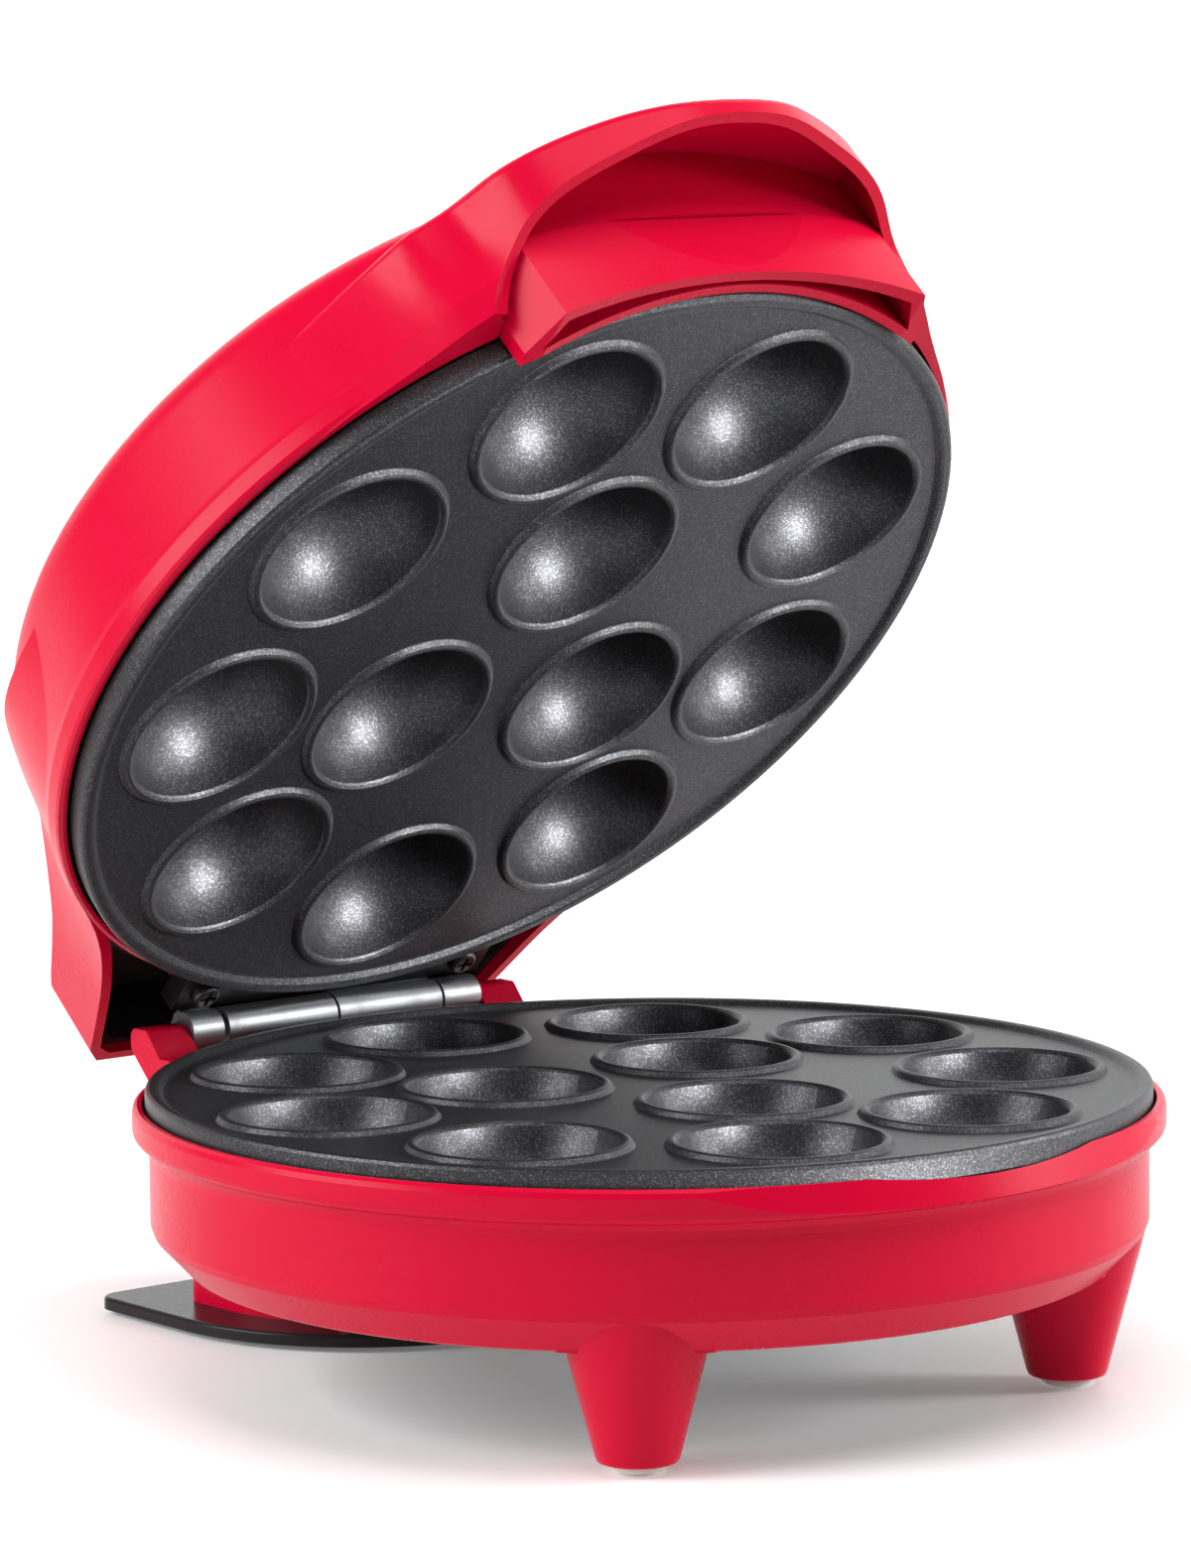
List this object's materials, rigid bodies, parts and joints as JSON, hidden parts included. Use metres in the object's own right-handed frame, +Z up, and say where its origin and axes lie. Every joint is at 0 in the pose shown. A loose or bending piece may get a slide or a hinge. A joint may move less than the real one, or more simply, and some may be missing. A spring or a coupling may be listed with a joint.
{
  "type": "cake pop maker",
  "caption": "Round countertop cooker on two conical front legs, with a hinged lid held open and two facing dark plates of half-ball wells.",
  "frame": {"origin": "bottom centre of the bounding box of the whole object with the lid open as modelled", "axes": "+Z up, +X along the hinge axis, -Y to the front where the handle is, +Y to the hinge at the rear"},
  "size_m": [0.2052, 0.2383, 0.2535],
  "materials": {
    "red_body": "gloss",
    "dark_plastic": "matt",
    "dark_gloss": "gloss",
    "pale_rubber": "satin",
    "black_rubber": "matt",
    "nonstick": "non-stick coating",
    "sheet": "mill",
    "element": "oxidised",
    "black_plastic": "matt",
    "pale_plastic": "matt",
    "hinge_steel": "satin",
    "black_steel": "satin black",
    "screw_steel": "zinc",
    "red_lens": "tinted clear plastic",
    "green_lens": "tinted clear plastic"
  },
  "bodies": {
    "base": {"base_housing": "red_body", "bottom_cover": "dark_plastic", "bottom_cover_screws": "screw_steel", "foot_bumpers": "pale_rubber", "cord_spool": "red_body", "cord_spool_flange": "dark_gloss", "spool_screws": "screw_steel", "flange_screws": "screw_steel", "flange_pads": "black_rubber", "cord_inlet_bush": "black_rubber", "lower_cooking_plate": "nonstick", "lower_plate_screws": "screw_steel", "lower_heating_element": "element", "lower_heat_shield": "sheet", "lower_thermostat": "black_plastic", "thermal_fuse": "screw_steel", "terminal_block": "pale_plastic", "base_hinge_leaf": "hinge_steel", "base_hinge_screws": "screw_steel", "hinge_pin": "hinge_steel"},
    "lid": {"lid_housing": "red_body", "handle_insert": "red_body", "upper_cooking_plate": "nonstick", "upper_plate_studs": "screw_steel", "upper_heating_element": "element", "upper_heat_shield": "sheet", "upper_thermostat": "black_plastic", "indicator_lamps": "pale_plastic", "power_lens": "red_lens", "ready_lens": "green_lens", "lid_hinge_leaf": "black_steel", "lid_hinge_screws": "screw_steel", "hinge_cavity_liner": "black_plastic"}
  },
  "joints": [
    {"name": "lid_hinge", "type": "hinge", "parent": "base", "child": "lid", "pos_m": [0, 0.08805, 0.06039], "axis": [-1, 0, 0], "range_deg": [-48.73, 50]}
  ]
}
